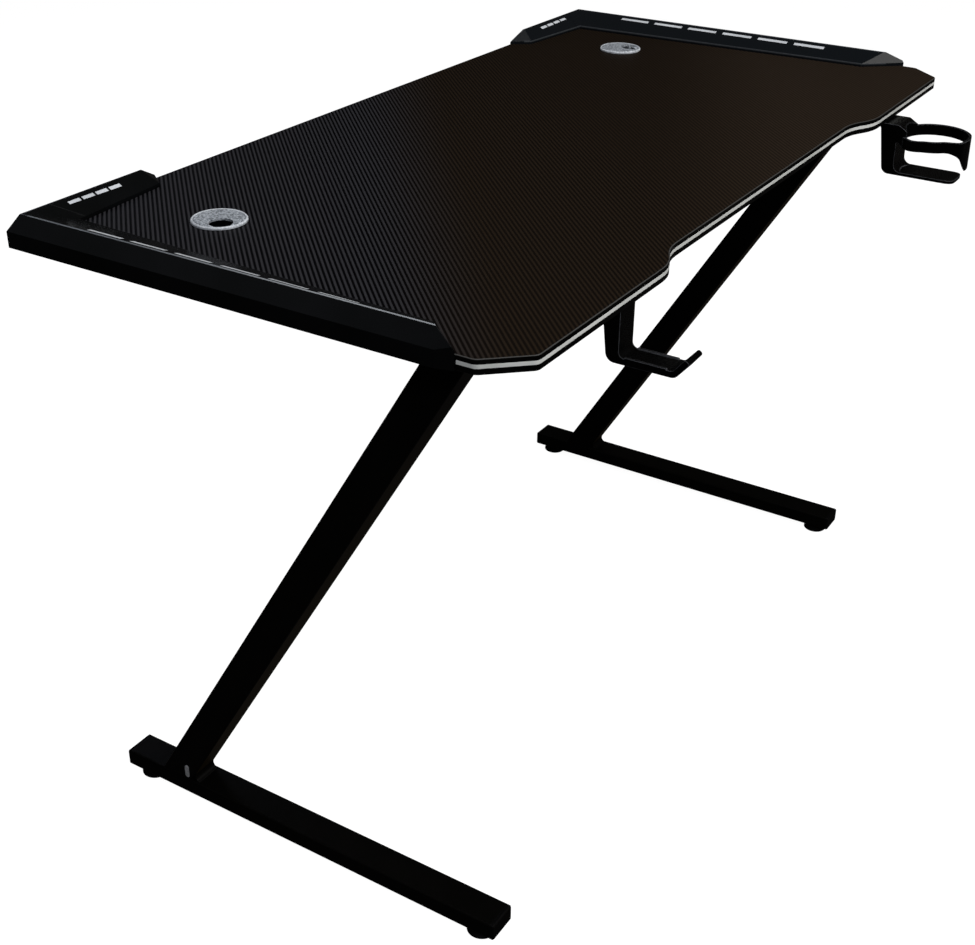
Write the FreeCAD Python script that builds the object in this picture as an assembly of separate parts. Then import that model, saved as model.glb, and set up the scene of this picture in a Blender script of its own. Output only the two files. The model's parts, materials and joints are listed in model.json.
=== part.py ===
import FreeCAD, Part
import math
import os

from FreeCAD import Vector

# Gaming desk on two Z-shaped tube frames, in millimetres, +Z up.
# x runs along the desk, y from the sitter towards the back, z up from the floor.
# Every piece is drawn about the middle of the desktop. On export all of them move back together by
# half the cup holder's reach, so that the origin is the middle of the whole footprint, on the floor.

# Desktop
desk_length = 1200.0            # over the two light bars
desk_depth = 600.0
desk_height = 750.0             # floor to the upper face of the board
board_thickness = 15.0
edge_band_thickness = 1.2
edge_band_chamfer = 0.5
corner_cut_length = 38.0        # cut front corner, along x
corner_cut_depth = 41.0         # cut front corner, along y
corner_radius = 10.0
back_corner_radius = 3.0
recess_depth = 20.0             # the middle of the front edge lies back by this
recess_half_width = 262.0
recess_slope_run = 38.0         # x run of the slanted step into the recess
recess_radius = 70.0
stripe_width = 4.0
stripe_depth = 0.6
stripe_drop = 5.0               # upper face of the board down to the stripe

# Light bars
bar_overhang = 7.0              # side bar outside the end of the board
bar_height = 18.0               # ridge above the board
bar_wall_rise = 2.5             # upright outer wall above the board
bar_ridge_inset = 15.5          # ridge inwards of the outer wall, side bar
bar_ridge_land = 2.0            # narrow flat along the ridge
bar_width_back = 64.5           # side bar at the back corner
bar_width_front = 46.5          # side bar at its front end
bar_lip = 4.2                   # upright lip at the inner foot of the slope and under the nose
bar_wall = 2.0
bar_tip_front = 60.0            # tip of the side bar behind the front edge
bar_tip_inset = 5.0             # tip inwards of the outer wall
bar_tip_cut = 18.0              # length of the cut outer corner at the tip
bar_nose_length = 49.0          # inner corner of the front end back from the tip
bar_nose_run = 9.0              # plan depth of the slanted front end
back_bar_depth = 37.5           # back bar where it meets the side bar
back_bar_depth_end = 26.0       # back bar at its free end
back_bar_ridge_inset = 7.5
back_bar_end = 196.0            # inner foot of the back bar's end, inwards of the outer wall
back_bar_end_skew = 19.0        # back corner of that end, further inwards by this
back_bar_end_run = 17.5         # plan depth of its slanted face
bar_seam = 51.5                 # joint between the two covers at the ridge, inwards of the outer wall
bar_seam_slant = 0.74           # how far the joint runs inwards for each millimetre forwards
bar_seam_gap = 0.4
skirt_clearance = 0.3           # side bar skirt to the end of the board

# Windows and lights in the bars
side_window_length = 47.0
side_window_pitch = 57.6
side_window_first = 114.0       # centre of the rearmost window from the back edge
side_window_margin = 60.0       # least room between the last window and the nose
side_window_inset = 7.2         # from the ridge, in plan
side_window_width = 7.5
back_window_length = 16.8
back_window_pitch = 19.6
back_window_first = 81.0        # centre of the outermost window from the outer wall
back_window_margin = 24.0       # least room between the last window and the slanted end
back_window_inset = 5.5
back_window_width = 4.4
window_clearance = 0.15
diffuser_thickness = 1.6
diffuser_margin = 3.0
diffuser_recess = 0.3
base_thickness = 2.0
base_width = 24.0
base_back_width = 12.0
base_clearance = 1.5
base_reach = 160.0              # innermost screw of the base, inwards of the outer wall
led_strip_width = 8.0
led_strip_thickness = 0.6
led_size = 5.0
led_height = 1.5
bar_boss_radius = 4.5
bar_boss_height = 6.0
bar_boss_inset = 12.0           # screws of the side bar, inwards of the outer wall
gland_radius = 5.0
gland_bore_radius = 3.0
gland_flange = 1.5
gland_inset = 178.0             # gland inwards of the outer wall

# Cable grommets
grommet_inset = 149.0           # centre inwards of the outer wall of the bar
grommet_back = 153.0            # centre in front of the back edge
grommet_radius = 30.0
grommet_rim = 2.5
grommet_rim_height = 3.2
grommet_flange = 0.8
grommet_hole_radius = 25.0
grommet_sleeve_wall = 1.8
grommet_sleeve_length = 14.0
grommet_fit = 0.2
cap_clearance = 0.3
cap_float = 0.1
cap_skirt_wall = 2.0
cap_skirt_length = 4.0
cap_notch_radius = 13.0
cap_notch_offset = 15.5         # middle of the notch from the cap's middle
cap_angle_left = -133.0
cap_angle_right = -53.0

# Frames
tube_width = 40.0
tube_wall = 1.5
tube_corner = 3.0
frame_inset = 81.0              # middle of the frame inwards of the bar's outer wall
arm_height = 20.0
arm_front = 68.0                # front end of the arm behind the front edge
arm_length = 470.0
leg_depth = 40.0
leg_foot_back = 86.0            # middle of the leg on the foot, in front of the back edge
leg_top_front = 104.0           # middle of the leg under the arm, behind the front edge
weld_leg = 13.0
foot_height = 22.0
foot_clearance = 12.0           # underside of the foot above the floor
foot_back = 2.0                 # back end of the foot in front of the back edge
foot_length = 552.0
cap_thickness = 5.0
cap_plug_length = 14.0
cap_plug_wall = 2.0
cap_fit = 0.2
cap_bevel = 1.5
plug_width = 4.0                # bright plug in the drain slot of the leg
plug_length = 16.0
plug_rise = 6.0                 # plug's lower end above the foot
plug_offset = 11.0              # plug in front of the leg's middle line
plug_head = 1.0
plug_fit = 0.2

# Cross beam
beam_depth = 40.0
beam_height = 20.0
beam_back = 190.0               # middle of the beam in front of the back edge
beam_plate_thickness = 3.0
beam_plate_length = 76.0
beam_bolt_spacing = 58.0
bolt_radius = 3.0
bolt_head_radius = 5.0
bolt_head_height = 3.0
bolt_length = 12.0
bolt_fit = 0.2

# Wood screws
screw_radius = 2.0
screw_head_radius = 4.0
screw_head_height = 2.4
screw_bite = 10.0               # length in the board
screw_fit = 0.1
pilot_fit = 0.05
screw_tip = 0.5                 # shank's end short of the bottom of its hole
access_radius = 5.5             # driver hole through the lower wall of a tube
arm_screw_places = (0.30, 0.60, 0.92)   # along the arm from its front end
beam_screw_spacing = 500.0

# Levelling feet
leveller_inset = 27.0           # from the end of the foot
pad_radius = 17.5
pad_neck_radius = 10.0
pad_neck_bevel = 1.0
pad_edge = 3.0
pad_height = 9.0
pad_floor = 2.5
stud_radius = 4.0
stud_clearance = 0.05
stud_float = 0.2
stud_length = 27.0
hex_size = 13.0
hex_gap = 0.3
nut_radius = 7.0
nut_height = 9.0

# Headphone hook
hook_inset = 217.0              # middle of the hook inwards of the left bar's outer wall
hook_width = 30.0
hook_setback = 3.0              # front face behind the front edge
hook_depth_top = 19.0
hook_depth_low = 13.0
hook_drop = 49.5                # underside of the board to the arm's upper face
hook_thickness = 6.5
hook_reach = 57.0               # front face of the strap to the foot of the lip
hook_lip_run = 12.0
hook_lip_rise = 15.0
hook_lip_tip = 6.0
hook_flange = 4.0
hook_flange_length = 38.0
hook_wall = 3.5
hook_rim = 2.5
hook_rim_height = 1.2
bracket_screw_spacing = 16.0

# Cup holder
cup_inset = 233.0               # middle of the cup holder inwards of the right bar's outer wall
cup_ring_radius = 44.0
cup_ring_wall = 3.5
cup_ring_front = 110.0          # front of the ring in front of the front edge
cup_ring_drop = 8.5             # underside of the board to the ring's upper edge
cup_ring_height = 14.0
cup_lobe_drop = 27.0            # how far the claw at the ring's front hangs below its sides
cup_lobe_run = 9.0              # front of the ring to where its lower edge falls
cup_lobe_tip = 0.8              # front of the ring to the claw's lower end
cup_lobe_radius = 16.0
cup_web_width = 46.0
cup_web_depth = 15.0
cup_web_back = 3.0              # the web's head behind the front edge
cup_web_lean = 6.0              # the web's foot in front of the front edge
cup_drop = 62.0                 # underside of the board to the tongue's upper face
cup_tongue_thickness = 4.0
cup_tongue_reach = 101.0        # front of the tongue in front of the front edge
cup_root_length = 21.0
cup_root_slope = 14.0
cup_flange = 4.0
cup_flange_length = 52.0
cup_wall = 4.0
cup_bend_radius = 10.0
cup_root_round = 2.0
cup_web_draft = 1.0             # the web's front leans by this over its height

# Places that follow from the sizes
half_length = desk_length / 2.0
half_depth = desk_depth / 2.0
board_half_length = half_length - bar_overhang
board_bottom = desk_height - board_thickness
frame_x = half_length - frame_inset
arm_bottom = board_bottom - arm_height
foot_top = foot_clearance + foot_height
leg_foot_y = half_depth - leg_foot_back
leg_top_y = -half_depth + leg_top_front
leg_run = leg_top_y - leg_foot_y
leg_rise = arm_bottom - foot_top
leg_section = leg_depth * math.hypot(leg_run, leg_rise) / leg_rise
arm_front_y = -half_depth + arm_front
foot_back_y = half_depth - foot_back
foot_front_y = foot_back_y - foot_length
beam_y = half_depth - beam_back
grommet_x = half_length - grommet_inset
grommet_y = half_depth - grommet_back
ridge_x = half_length - bar_ridge_inset
ridge_z = desk_height + bar_height
ridge_y = half_depth - back_bar_ridge_inset
wall_z = desk_height + bar_wall_rise
cup_ring_y = -half_depth - cup_ring_front + cup_ring_radius
cup_x = half_length - cup_inset
hook_x = -half_length + hook_inset
side_window_room = desk_depth - side_window_first - bar_tip_front - bar_nose_length
side_window_room -= side_window_margin + side_window_length / 2.0
side_window_count = 1 + int(side_window_room / side_window_pitch)
back_window_room = back_bar_end - back_bar_end_run - back_window_first
back_window_room -= back_window_margin + back_window_length / 2.0
back_window_count = 1 + int(back_window_room / back_window_pitch)
footprint_shift = cup_ring_front / 2.0


def mirrored(shape):
    # The same piece on the other end of the desk.
    return shape.mirror(Vector(0, 0, 0), Vector(1, 0, 0))


def plan(u, v):
    return Vector(u, v, 0)


def side_view(u, v):
    return Vector(0, u, v)


def end_view(u, v):
    return Vector(u, 0, v)


def rounded_wire(corners, place):
    # Closed outline through (u, v, radius) corners, each rounded by a tangent arc.
    count = len(corners)
    starts = []
    ends = []
    arcs = []
    for i in range(count):
        u, v, radius = corners[i]
        here = place(u, v)
        before = place(*corners[i - 1][:2]) - here
        after = place(*corners[(i + 1) % count][:2]) - here
        before.normalize()
        after.normalize()
        if radius <= 0:
            starts.append(here)
            ends.append(here)
            arcs.append(None)
            continue
        half_angle = before.getAngle(after) / 2.0
        reach = radius / math.tan(half_angle)
        middle = before + after
        middle.normalize()
        depth = radius / math.sin(half_angle) - radius
        starts.append(here + before * reach)
        ends.append(here + after * reach)
        arcs.append(Part.Arc(starts[i], here + middle * depth, ends[i]).toShape())
    edges = []
    for i in range(count):
        if arcs[i] is not None:
            edges.append(arcs[i])
        following = starts[(i + 1) % count]
        if (following - ends[i]).Length > 1e-6:
            edges.append(Part.LineSegment(ends[i], following).toShape())
    return Part.Wire(edges)


def rounded_face(corners, place):
    return Part.Face(rounded_wire(corners, place))


def flat_face(points):
    return Part.Face(Part.makePolygon(points + [points[0]]))


def box_between(low, high):
    size = high - low
    return Part.makeBox(size.x, size.y, size.z, low)


def rod(radius, length, base, axis=Vector(0, 0, 1)):
    return Part.makeCylinder(radius, length, base, axis)


def turned(points, centre):
    # Solid of revolution about the upright axis through centre, from (radius, height) points.
    face = flat_face([Vector(r, 0, z) for r, z in points])
    solid = face.revolve(Vector(0, 0, 0), Vector(0, 0, 1), 360)
    solid.translate(centre)
    return solid


def beyond(point, normal):
    # Large block that holds everything on the side of the plane that the normal points to.
    size = 2.0 * desk_length
    block = Part.makeBox(size, size, size, Vector(-size / 2.0, -size / 2.0, 0))
    turn = FreeCAD.Rotation(Vector(0, 0, 1), normal)
    block.Placement = FreeCAD.Placement(point, turn)
    return block


def one_solid(shape):
    return shape.removeSplitter().Solids[0]


def save(name, *shapes):
    solids = []
    for shape in shapes:
        solids.extend(shape.Solids)
    piece = solids[0] if len(solids) == 1 else Part.makeCompound(solids)
    piece = piece.copy()
    piece.translate(Vector(0, footprint_shift, 0))
    piece.exportStep("parts/" + name + ".step")


# Desktop board, edge band and stripe


def desktop_outline():
    right = [
        (board_half_length, half_depth, back_corner_radius),
        (board_half_length, -half_depth + corner_cut_depth, corner_radius),
        (board_half_length - corner_cut_length, -half_depth, corner_radius),
        (recess_half_width + recess_slope_run, -half_depth, recess_radius),
        (recess_half_width, -half_depth + recess_depth, recess_radius),
    ]
    left = [(-u, v, radius) for u, v, radius in reversed(right)]
    return rounded_face(right + left, plan)


def slab(face, bottom, thickness):
    layer = face.copy()
    layer.translate(Vector(0, 0, bottom))
    return layer.extrude(Vector(0, 0, thickness))


def stripe_ring(outline):
    # Shallow band round the board at the stripe's height, kept only in front of the side bars.
    bottom = desk_height - stripe_drop - stripe_width
    ring = slab(outline, bottom, stripe_width).cut(
        slab(outline.makeOffset2D(-stripe_depth), bottom, stripe_width))
    bar_tip_y = -half_depth + bar_tip_front
    front = box_between(Vector(-desk_length, -desk_depth, bottom),
                        Vector(desk_length, bar_tip_y, bottom + stripe_width))
    return ring.common(front)


def desktop_pieces():
    outline = desktop_outline()
    core_face = outline.makeOffset2D(-edge_band_thickness)
    core = slab(core_face, board_bottom, board_thickness)
    outer = slab(outline, board_bottom, board_thickness)
    rims = [e for e in outer.Edges if abs(e.BoundBox.ZMax - e.BoundBox.ZMin) < 1e-6]
    band = outer.makeChamfer(edge_band_chamfer, rims).cut(core)
    stripe = stripe_ring(outline)
    return core, band.cut(stripe), stripe


# Light bar covers


def inset_line(points, distance):
    # Open line moved to its right-hand side by distance, with its corners met again.
    moved = []
    for (u0, v0), (u1, v1) in zip(points, points[1:]):
        length = math.hypot(u1 - u0, v1 - v0)
        du = (v1 - v0) / length * distance
        dv = -(u1 - u0) / length * distance
        moved.append(((u0 + du, v0 + dv), (u1 + du, v1 + dv)))
    result = [moved[0][0]]
    for ((a0, b0), (a1, b1)), ((c0, d0), (c1, d1)) in zip(moved, moved[1:]):
        cross = (a1 - a0) * (d1 - d0) - (b1 - b0) * (c1 - c0)
        along = ((c0 - a0) * (d1 - d0) - (d0 - b0) * (c1 - c0)) / cross
        result.append((a0 + along * (a1 - a0), b0 + along * (b1 - b0)))
    result.append(moved[-1][1])
    return result


def roof_line(outer, ridge, inner):
    # From the inner foot of the bar to a sharp apex and down to the foot of its outer wall.
    # The apex stands above the ridge until the narrow land is cut off level along it.
    away = math.copysign(1.0, outer - ridge)
    half_land = bar_ridge_land / 2.0
    slope_run = abs(ridge - inner) - half_land
    bevel_run = abs(outer - ridge) - half_land
    slope = (bar_height - bar_lip) / slope_run
    bevel = (bar_height - bar_wall_rise) / bevel_run
    above = bar_ridge_land / (1.0 / slope + 1.0 / bevel)
    return [
        (inner, desk_height),
        (inner, desk_height + bar_lip),
        (ridge - away * half_land + away * above / slope, ridge_z + above),
        (outer, wall_z),
        (outer, desk_height),
    ]


def side_bar_inner_edge(y):
    # The side bar narrows evenly from the back corner to its front end.
    back_y = half_depth - back_bar_depth
    front_y = -half_depth + bar_tip_front + bar_nose_length
    share = (back_y - y) / (back_y - front_y)
    width = bar_width_back + (bar_width_front - bar_width_back) * share
    return half_length - width


def back_bar_inner_edge(x):
    # The back bar narrows evenly from the side bar to its free end.
    corner_x = half_length - bar_width_back
    end_x = half_length - back_bar_end
    share = (corner_x - x) / (corner_x - end_x)
    depth = back_bar_depth + (back_bar_depth_end - back_bar_depth) * share
    return half_depth - depth


def side_bar_block(inset):
    # Side bar as a full block under its roof, all outer faces moved in by inset.
    sections = []
    for y in (half_depth, -half_depth):
        line = roof_line(half_length, ridge_x, side_bar_inner_edge(y))
        if inset > 0:
            line = inset_line(line, inset)
        sections.append(Part.makePolygon([Vector(u, y, v) for u, v in line + [line[0]]]))
    block = Part.makeLoft(sections, True, True)
    for plane in side_bar_cuts() + [back_bar_bevel(), ridge_level()]:
        block = block.cut(beyond(*moved_in(plane, inset)))
    return block


def moved_in(plane, inset):
    point, normal = plane
    return point - normal * inset, normal


def ridge_level():
    return Vector(0, 0, ridge_z), Vector(0, 0, 1)


def side_bar_bevel():
    # Plane of the side bar's outer bevel.
    rise = ridge_z - wall_z
    run = bar_ridge_inset - bar_ridge_land / 2.0
    normal = Vector(rise, 0, run)
    normal.normalize()
    return Vector(half_length, 0, wall_z), normal


def back_bar_bevel():
    rise = ridge_z - wall_z
    run = back_bar_ridge_inset - bar_ridge_land / 2.0
    normal = Vector(0, rise, run)
    normal.normalize()
    return Vector(0, half_depth, wall_z), normal


def side_bar_cuts():
    # Planes at the front end: cut outer corner, upright nose wall and slanted nose.
    tip = Vector(half_length - bar_tip_inset, -half_depth + bar_tip_front, 0)
    shoulder = Vector(half_length, tip.y + bar_tip_cut, 0)
    heel = Vector(half_length - bar_width_front, tip.y + bar_nose_length, 0)
    corner_normal = Vector(shoulder.y - tip.y, -(shoulder.x - tip.x), 0)
    corner_normal.normalize()
    nose_normal = Vector(-(heel.y - tip.y), heel.x - tip.x, 0)
    nose_normal.normalize()
    slant_normal = nose_normal * (bar_height - bar_lip) + Vector(0, 0, bar_nose_run)
    slant_normal.normalize()
    slant_foot = Vector(tip.x, tip.y, desk_height + bar_lip)
    return [(shoulder, corner_normal), (tip, nose_normal), (slant_foot, slant_normal)]


def back_bar_cuts():
    # Upright foot and slanted face of the free end, whose back corner reaches furthest inwards.
    foot = Vector(half_length - back_bar_end, half_depth - back_bar_depth_end, desk_height + bar_lip)
    foot_normal = Vector(-back_bar_depth_end, -back_bar_end_skew, 0)
    foot_normal.normalize()
    slant_normal = foot_normal * (bar_height - bar_lip) + Vector(0, 0, back_bar_end_run)
    slant_normal.normalize()
    return [(foot, foot_normal), (foot, slant_normal)]


def back_bar_block(inset):
    inner_x = half_length - back_bar_end - back_bar_end_skew
    sections = []
    for x in (inner_x, half_length):
        line = roof_line(half_depth, ridge_y, back_bar_inner_edge(x))
        if inset > 0:
            line = inset_line(line, inset)
        sections.append(Part.makePolygon([Vector(x, u, v) for u, v in line + [line[0]]]))
    block = Part.makeLoft(sections, True, True)
    outer_end = (Vector(half_length, 0, 0), Vector(1, 0, 0))
    for plane in back_bar_cuts() + [outer_end, side_bar_bevel(), ridge_level()]:
        block = block.cut(beyond(*moved_in(plane, inset)))
    return block


def bar_block(inset):
    # L-shaped light bar at the right end, without its skirt.
    return side_bar_block(inset).fuse(back_bar_block(inset)).removeSplitter()


def bar_skirt():
    # Part of the side cover that hangs down over the end of the board.
    block = box_between(Vector(board_half_length + skirt_clearance, -half_depth, board_bottom),
                        Vector(half_length, half_depth, desk_height))
    for point, normal in side_bar_cuts()[:2]:
        block = block.cut(beyond(point, normal))
    return block


def side_window_boxes(margin):
    boxes = []
    right = ridge_x - side_window_inset
    for i in range(side_window_count):
        middle = half_depth - side_window_first - i * side_window_pitch
        half = side_window_length / 2.0 + margin
        low = Vector(right - side_window_width - margin, middle - half, desk_height)
        high = Vector(right + margin, middle + half, ridge_z)
        boxes.append(box_between(low, high))
    return boxes


def back_window_boxes(margin):
    boxes = []
    back = ridge_y - back_window_inset
    for i in range(back_window_count):
        middle = half_length - back_window_first - i * back_window_pitch
        half = back_window_length / 2.0 + margin
        low = Vector(middle - half, back - back_window_width - margin, desk_height)
        high = Vector(middle + half, back + margin, ridge_z)
        boxes.append(box_between(low, high))
    return boxes


def joined(shapes):
    return shapes[0].multiFuse(shapes[1:]) if len(shapes) > 1 else shapes[0]


def bar_covers(block, hollow):
    shell = block.cut(hollow).fuse(bar_skirt())
    shell = shell.cut(joined(side_window_boxes(0) + back_window_boxes(0)))
    # The joint is an upright plane that slants inwards from the ridge to the inner corner.
    start = Vector(half_length - bar_seam, ridge_y, 0)
    across = Vector(1.0, -bar_seam_slant, 0)
    across.normalize()
    half_gap = across * (bar_seam_gap / 2.0)
    side = shell.cut(beyond(start + half_gap, across * -1.0))
    back = shell.cut(beyond(start - half_gap, across))
    return one_solid(side), one_solid(back)


def diffuser(windows, carrier_low, carrier_high, hollow, below, skin):
    # Clear strip behind the cover, with a raised lens that fills each window.
    carrier = hollow.cut(below).common(box_between(carrier_low, carrier_high))
    lenses = joined(windows).common(skin).cut(below)
    return one_solid(carrier.fuse(lenses))


def bar_diffusers(hollow):
    below = bar_block(bar_wall + diffuser_thickness)
    skin = bar_block(diffuser_recess)
    side_high_x = ridge_x - side_window_inset + diffuser_margin
    side_low_x = ridge_x - side_window_inset - side_window_width - diffuser_margin
    side_back_y = half_depth - side_window_first + side_window_length / 2.0 + diffuser_margin
    side_front_y = side_back_y - (side_window_count - 1) * side_window_pitch
    side_front_y -= side_window_length + 2.0 * diffuser_margin
    side = diffuser(side_window_boxes(-window_clearance), Vector(side_low_x, side_front_y, desk_height),
                    Vector(side_high_x, side_back_y, ridge_z), hollow, below, skin)
    back_high_y = ridge_y - back_window_inset + diffuser_margin
    back_low_y = ridge_y - back_window_inset - back_window_width - diffuser_margin
    back_outer_x = half_length - back_window_first + back_window_length / 2.0 + diffuser_margin
    back_inner_x = back_outer_x - (back_window_count - 1) * back_window_pitch
    back_inner_x -= back_window_length + 2.0 * diffuser_margin
    back = diffuser(back_window_boxes(-window_clearance), Vector(back_inner_x, back_low_y, desk_height),
                    Vector(back_outer_x, back_high_y, ridge_z), hollow, below, skin)
    return side, back


def bar_base_places():
    # Middle lines of the base under the side bar and the back bar.
    side_x = half_length - bar_wall - base_clearance - base_width / 2.0
    back_y = half_depth - bar_wall - base_clearance - base_back_width / 2.0
    return side_x, back_y


def bar_screw_places():
    back_y = bar_base_places()[1]
    boss_x = half_length - bar_boss_inset
    first_y = -half_depth + bar_tip_front + bar_nose_length + 2.0 * bar_boss_radius
    middle_y = (first_y + back_y) / 2.0
    return [(boss_x, first_y), (boss_x, middle_y), (boss_x, back_y), (half_length - base_reach, back_y)]


def gland_place():
    return half_length - gland_inset, bar_base_places()[1]


def bar_base():
    # L-shaped carrier inside the bar, lying on the board, with bosses for the screws from below.
    side_x, back_y = bar_base_places()
    front_y = bar_screw_places()[0][1] - bar_boss_radius
    inner_x = bar_screw_places()[3][0] - bar_boss_radius
    top = desk_height + base_thickness
    side = box_between(Vector(side_x - base_width / 2.0, front_y, desk_height),
                       Vector(side_x + base_width / 2.0, back_y + base_back_width / 2.0, top))
    back = box_between(Vector(inner_x, back_y - base_back_width / 2.0, desk_height),
                       Vector(side_x, back_y + base_back_width / 2.0, top))
    base = side.fuse(back)
    for x, y in bar_screw_places():
        base = base.fuse(rod(bar_boss_radius, bar_boss_height, Vector(x, y, desk_height)))
        base = base.cut(rod(screw_radius + pilot_fit, bar_boss_height, Vector(x, y, desk_height)))
    return one_solid(base)


def led_strip(start, direction, across, count, pitch, length):
    # Printed strip with a row of light chips on it, start being the middle of its first chip.
    up = Vector(0, 0, 1)
    ends = (length - (count - 1) * pitch) / 2.0
    corner = start - direction * ends - across * (led_strip_width / 2.0)
    strip = flat_face([corner, corner + direction * length,
                       corner + direction * length + across * led_strip_width,
                       corner + across * led_strip_width]).extrude(up * led_strip_thickness)
    chips = []
    for i in range(count):
        middle = start + direction * (i * pitch) + up * led_strip_thickness
        low = middle - direction * (led_size / 2.0) - across * (led_size / 2.0)
        chips.append(flat_face([low, low + direction * led_size,
                                low + direction * led_size + across * led_size,
                                low + across * led_size]).extrude(up * led_height))
    return one_solid(joined([strip] + chips))


def bar_led_strips():
    side_x, back_y = bar_base_places()
    top = desk_height + base_thickness
    first = half_depth - side_window_first
    side_length = (side_window_count - 1) * side_window_pitch + side_window_length
    side_at = side_x - base_width / 2.0 + led_strip_width / 2.0
    side = led_strip(Vector(side_at, first, top), Vector(0, -1, 0), Vector(1, 0, 0),
                     side_window_count, side_window_pitch, side_length)
    back_length = (back_window_count - 1) * back_window_pitch + back_window_length
    back_at = back_y - base_back_width / 2.0 + led_strip_width / 2.0
    back = led_strip(Vector(half_length - back_window_first, back_at, top), Vector(-1, 0, 0),
                     Vector(0, 1, 0), back_window_count, back_window_pitch, back_length)
    return side, back


def cable_gland():
    # Rubber bush in the board under the back bar, where the lights' lead passes down.
    x, y = gland_place()
    points = [
        (gland_bore_radius, -board_thickness),
        (gland_radius, -board_thickness),
        (gland_radius, 0),
        (gland_radius + gland_flange, 0),
        (gland_radius + gland_flange, gland_flange),
        (gland_bore_radius, gland_flange),
    ]
    return turned(points, Vector(x, y, desk_height))


def driven_screw(place, length):
    # Pan head with a bevelled rim and a plain shank, the head's seat at place and the shank upwards.
    bevel = screw_head_height * 0.45
    points = [
        (0, -screw_head_height),
        (screw_head_radius - bevel, -screw_head_height),
        (screw_head_radius, bevel - screw_head_height),
        (screw_head_radius, 0),
        (screw_radius, 0),
        (screw_radius, length),
        (0, length),
    ]
    return turned(points, place)


def bar_screws():
    length = board_thickness + bar_boss_height - screw_tip
    return [driven_screw(Vector(x, y, board_bottom), length) for x, y in bar_screw_places()]


# Cable grommets


def grommet_ring(centre):
    inner = grommet_hole_radius - grommet_fit - grommet_sleeve_wall
    half_rim = grommet_rim / 2.0
    points = [
        (inner, -grommet_sleeve_length),
        (grommet_hole_radius - grommet_fit, -grommet_sleeve_length),
        (grommet_hole_radius - grommet_fit, 0),
        (grommet_radius, 0),
        (grommet_radius, grommet_rim_height - half_rim),
        (grommet_radius - 0.3 * grommet_rim, grommet_rim_height - 0.2 * grommet_rim),
        (grommet_radius - half_rim, grommet_rim_height),
        (grommet_radius - grommet_rim, grommet_rim_height - 0.2 * grommet_rim),
        (grommet_radius - grommet_rim, grommet_flange),
        (inner, grommet_flange),
    ]
    return turned(points, centre)


def grommet_cap(centre, angle):
    # Turning cap, with a round cable notch that opens at its edge towards angle.
    disc_radius = grommet_radius - grommet_rim - cap_clearance
    skirt_radius = grommet_hole_radius - grommet_fit - grommet_sleeve_wall - cap_clearance
    seat = grommet_flange + cap_float
    edge = (grommet_rim_height - seat) / 2.0
    points = [
        (0, seat),
        (skirt_radius - cap_skirt_wall, seat),
        (skirt_radius - cap_skirt_wall, -cap_skirt_length),
        (skirt_radius, -cap_skirt_length),
        (skirt_radius, seat),
        (disc_radius, seat),
        (disc_radius, grommet_rim_height - edge),
        (disc_radius - edge, grommet_rim_height),
        (0, grommet_rim_height),
    ]
    cap = turned(points, centre)
    turn = math.radians(angle)
    notch = centre + Vector(math.cos(turn), math.sin(turn), 0) * cap_notch_offset
    notch.z -= cap_skirt_length
    return cap.cut(rod(cap_notch_radius, cap_skirt_length + grommet_rim_height, notch))


# Frames


def tube_face(width, height, corner, place):
    half_w = width / 2.0
    half_h = height / 2.0
    corners = [(-half_w, -half_h, corner), (half_w, -half_h, corner),
               (half_w, half_h, corner), (-half_w, half_h, corner)]
    return rounded_face(corners, place)


def tube(width, height, start, along):
    # Rectangular tube with rounded corners, start being the middle of its first end.
    place = end_view if abs(along.y) > abs(along.x) else side_view
    outer = tube_face(width, height, tube_corner, place)
    inner = tube_face(width - 2.0 * tube_wall, height - 2.0 * tube_wall, tube_corner - tube_wall, place)
    solid = outer.extrude(along).cut(inner.extrude(along))
    solid.translate(start)
    return solid


def screw_path(x, y, low, high):
    # Driver hole in the lower wall and screw hole in the upper wall of a tube.
    access = rod(access_radius, tube_wall, Vector(x, y, low))
    hole = rod(screw_radius + screw_fit, tube_wall, Vector(x, y, high - tube_wall))
    return access.fuse(hole)


def arm_screw_ys():
    return [arm_front_y + share * arm_length for share in arm_screw_places]


def top_arm():
    start = Vector(frame_x, arm_front_y + cap_thickness, arm_bottom + arm_height / 2.0)
    arm = tube(tube_width, arm_height, start, Vector(0, arm_length - 2.0 * cap_thickness, 0))
    for y in arm_screw_ys():
        arm = arm.cut(screw_path(frame_x, y, arm_bottom, board_bottom))
    for y in beam_bolt_ys():
        place = Vector(frame_x - tube_width / 2.0, y, arm_bottom + arm_height / 2.0)
        arm = arm.cut(rod(bolt_radius, tube_wall, place, Vector(1, 0, 0)))
    return one_solid(arm)


def leg_tube():
    # Slanted leg, cut level at both ends, with weld fillets in its two sharp corners.
    along = Vector(0, leg_run, leg_rise)
    outer = tube_face(tube_width, leg_section, tube_corner, plan).extrude(along)
    inner_section = leg_section - 2.0 * tube_wall * leg_section / leg_depth
    inner_width = tube_width - 2.0 * tube_wall
    inner = tube_face(inner_width, inner_section, tube_corner - tube_wall, plan).extrude(along)
    leg = outer.cut(inner)
    leg.translate(Vector(frame_x, leg_foot_y, foot_top))
    leg = leg.fuse(weld_fillets())
    leg = leg.cut(drain_slot(plug_fit, tube_wall))
    return one_solid(leg)


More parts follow.
